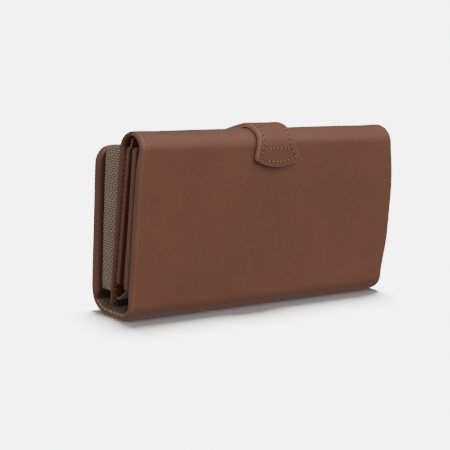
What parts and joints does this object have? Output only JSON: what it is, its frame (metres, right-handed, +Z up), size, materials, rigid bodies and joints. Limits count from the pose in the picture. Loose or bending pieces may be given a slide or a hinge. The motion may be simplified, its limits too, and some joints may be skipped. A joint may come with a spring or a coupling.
{
  "type": "long wallet",
  "caption": "Long trifold leather wallet with a zipped coin purse, card slots, a rounded top fold and a fan-ended closure tab.",
  "frame": {"origin": "middle of the box that holds the closed wallet, on the surface it stands on", "axes": "+X along the fold to the right as seen from the front, -Y the front with the tab, +Z up"},
  "size_m": [0.19, 0.0467, 0.1028],
  "materials": {
    "leather": "smooth, very fine grain, soft satin",
    "woven_fabric": "taupe basket weave",
    "grey_lining": "thin plain weave",
    "filling": "soft filling, hidden",
    "greyboard": "hidden board",
    "thread": "waxed thread",
    "zip_tape": "twill tape",
    "zip_metal": "antique brass",
    "magnet_steel": "plated, hidden"
  },
  "bodies": {
    "spine": {"spine_leather": "leather", "spine_lining": "woven_fabric"},
    "front_block": {"front_leather": "leather", "front_foam": "filling", "front_board": "greyboard", "front_lining": "woven_fabric", "front_roll": "leather", "cover_magnet": "magnet_steel", "note_lining": "grey_lining", "front_card_backing": "leather", "front_card_slots": "leather"},
    "card_flap": {"flap_roll": "leather", "flap_leather": "leather", "flap_filler": "filling", "flap_inner_leather": "leather", "flap_stitching": "thread", "flap_card_backing": "leather", "flap_card_slots": "leather"},
    "rear_cover": {"rear_leather": "leather", "rear_foam": "filling", "rear_board": "greyboard", "rear_lining": "leather", "purse_front_wall": "woven_fabric", "purse_rear_wall": "woven_fabric", "purse_floor": "woven_fabric", "purse_left_gusset": "woven_fabric", "purse_right_gusset": "woven_fabric", "zip_front_tape": "zip_tape", "zip_rear_tape": "zip_tape", "zip_front_teeth": "zip_metal", "zip_rear_teeth": "zip_metal", "zip_stops": "zip_metal", "strap_root": "leather", "root_stitching": "thread"},
    "closure_tab": {"tab_leather": "leather", "tab_lining": "leather", "tab_magnet": "magnet_steel", "tab_stitching": "thread"},
    "zip_slider": {"zip_slider_body": "zip_metal"},
    "zip_pull": {"zip_pull_tag": "zip_metal"}
  },
  "joints": [
    {"name": "front_open", "type": "hinge", "parent": "spine", "child": "front_block", "pos_m": [0, -0.01741, 0.00293], "axis": [1, 0, 0], "range_deg": [0, 90]},
    {"name": "rear_open", "type": "hinge", "parent": "spine", "child": "rear_cover", "pos_m": [0, 0.01323, 0.00293], "axis": [-1, 0, 0], "range_deg": [0, 93]},
    {"name": "flap_unfold", "type": "hinge", "parent": "front_block", "child": "card_flap", "pos_m": [0, -0.01084, 0.1], "axis": [1, 0, 0], "range_deg": [0, 175], "deforming": ["flap_roll", "flap_leather", "flap_filler", "flap_inner_leather", "flap_stitching", "flap_card_backing", "flap_card_slots"]},
    {"name": "tab_lift", "type": "hinge", "parent": "rear_cover", "child": "closure_tab", "pos_m": [0, 0.02335, 0.09039], "axis": [-1, 0, 0], "range_deg": [0, 150], "deforming": ["tab_leather", "tab_lining", "tab_magnet", "tab_stitching"]},
    {"name": "zip_slide", "type": "slide", "parent": "rear_cover", "child": "zip_slider", "axis": [-1, 0, 0], "range_m": [0, 0.135], "deforming": ["zip_front_tape", "zip_rear_tape", "zip_front_teeth", "zip_rear_teeth"]},
    {"name": "zip_pull_swing", "type": "hinge", "parent": "zip_slider", "child": "zip_pull", "pos_m": [0.068, 0.00745, 0.0897], "axis": [0, 1, 0], "range_deg": [0, 170]}
  ]
}
